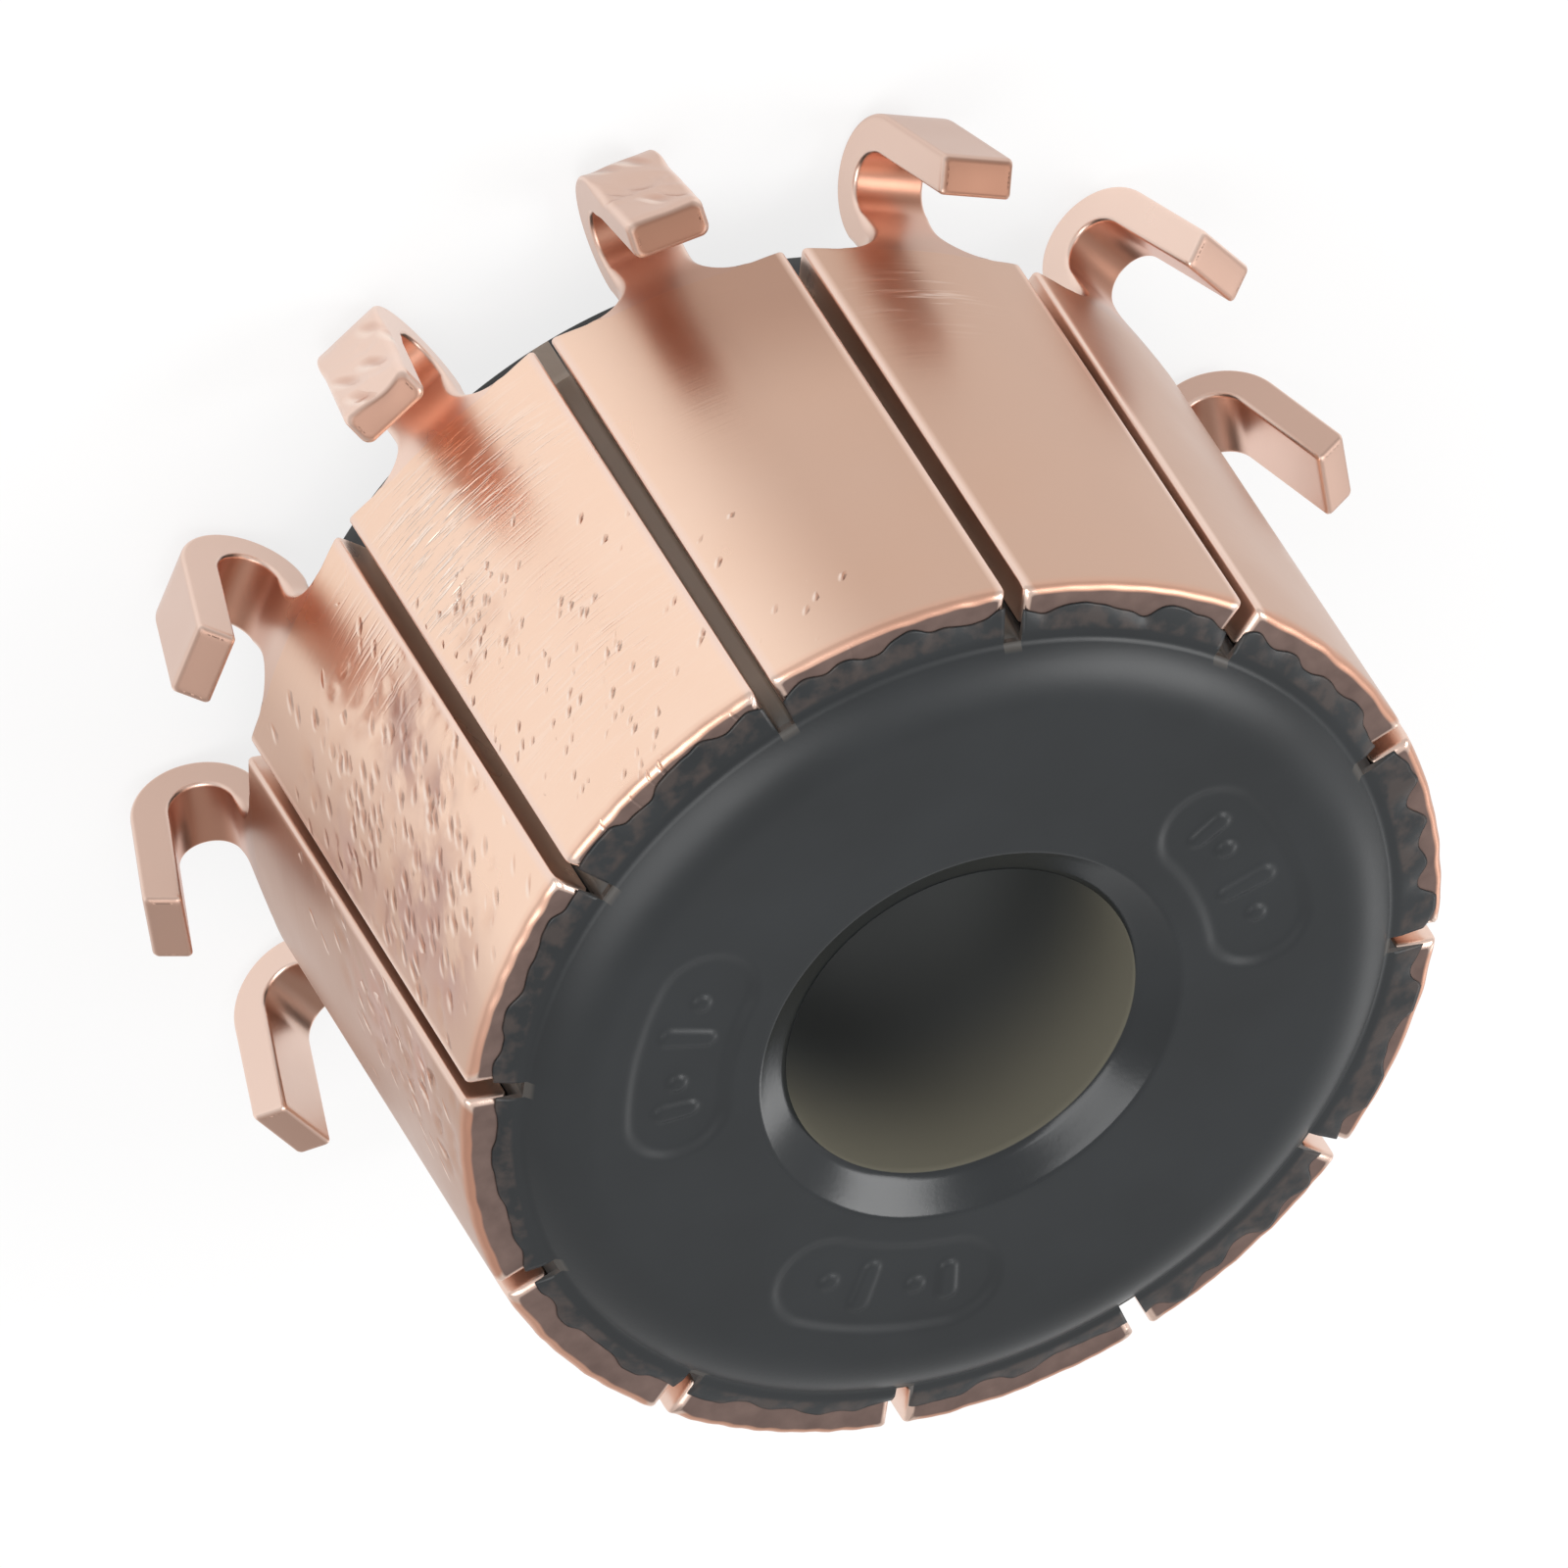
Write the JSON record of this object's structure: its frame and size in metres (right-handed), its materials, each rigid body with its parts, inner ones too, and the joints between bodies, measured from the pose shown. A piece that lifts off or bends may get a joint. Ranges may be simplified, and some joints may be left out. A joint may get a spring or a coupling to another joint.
{
  "type": "commutator",
  "caption": "Hook commutator for a small motor: slotted copper bars with bent wire hooks, moulded round a black phenolic body with a plain shaft bore.",
  "frame": {"origin": "middle of the rear collar's flat end, on the shaft's axis", "axes": "+Z along the bore, from the rear collar to the front face with the mould pads; +X through bar_01"},
  "size_m": [0.028, 0.028, 0.0159],
  "materials": {
    "copper": "turned copper, satin",
    "phenolic": "moulded, satin"
  },
  "bodies": {
    "root": {"body": "phenolic", "bar_01": "copper", "bar_02": "copper", "bar_03": "copper", "bar_04": "copper", "bar_05": "copper", "bar_06": "copper", "bar_07": "copper", "bar_08": "copper", "bar_09": "copper", "bar_10": "copper", "bar_11": "copper", "bar_12": "copper"}
  },
  "joints": []
}
